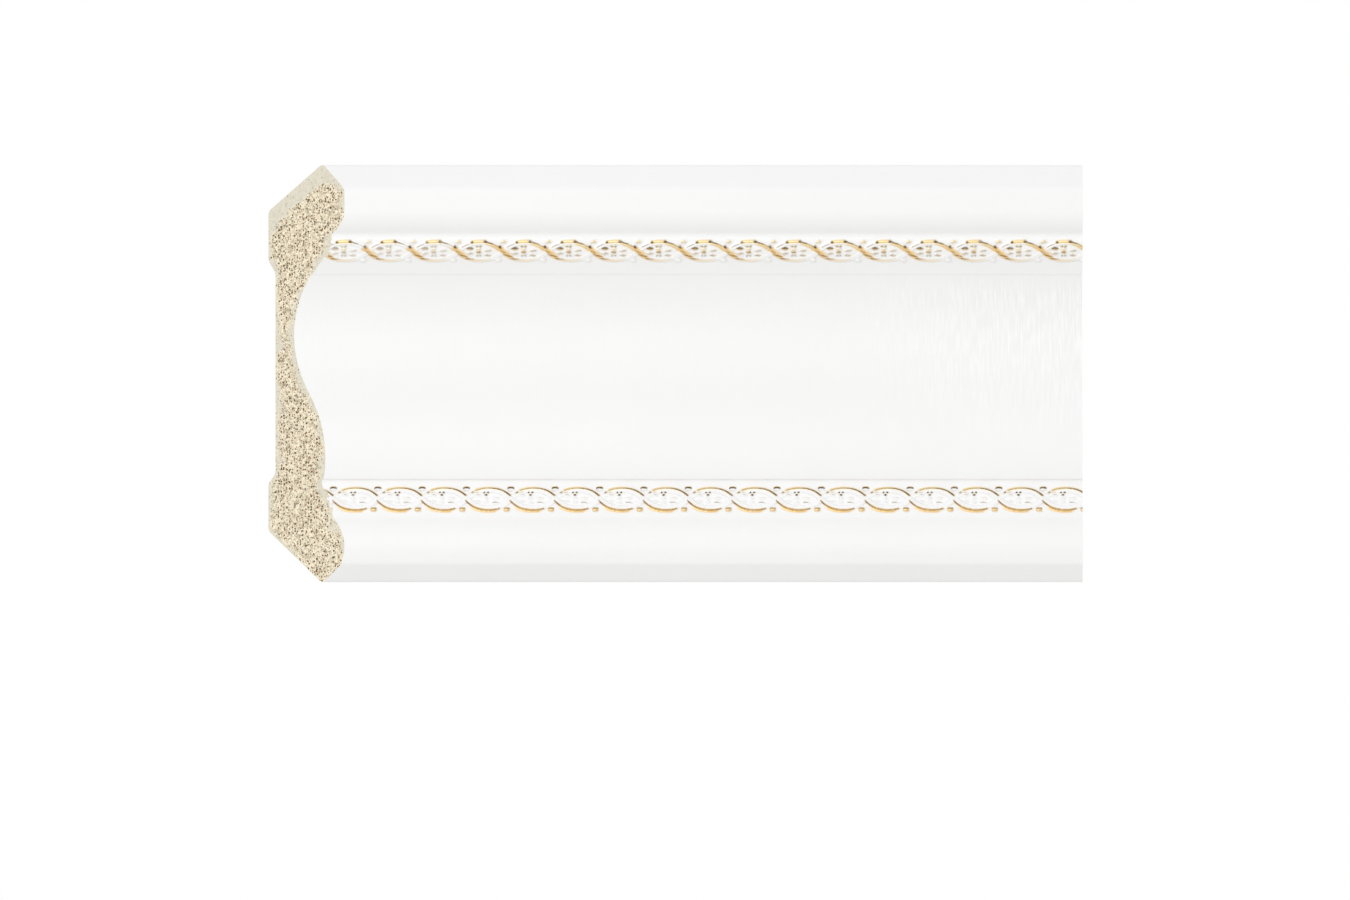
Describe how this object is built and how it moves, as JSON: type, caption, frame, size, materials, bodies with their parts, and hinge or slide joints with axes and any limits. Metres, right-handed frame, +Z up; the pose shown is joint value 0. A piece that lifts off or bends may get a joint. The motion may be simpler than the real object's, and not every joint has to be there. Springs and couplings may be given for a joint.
{
  "type": "crown moulding length",
  "caption": "Straight length of foam crown moulding with a plain cyma between gilded guilloche bands, bevelled at one end and cut square at the other, glued between wall and ceiling.",
  "frame": {"origin": "middle of the lower glue face, where the moulding is fixed to the wall", "axes": "+X along the length to the right as the face is seen, +Z up the face towards the ceiling edge, -Y out of the face"},
  "size_m": [0.294, 0.025, 0.1503],
  "materials": {
    "coated_foam": "white satin coat on rigid polystyrene foam, gold foil on the embossed bands, bare beige foam at the cut ends"
  },
  "bodies": {
    "root": {"crown_moulding": "coated_foam"}
  },
  "joints": []
}
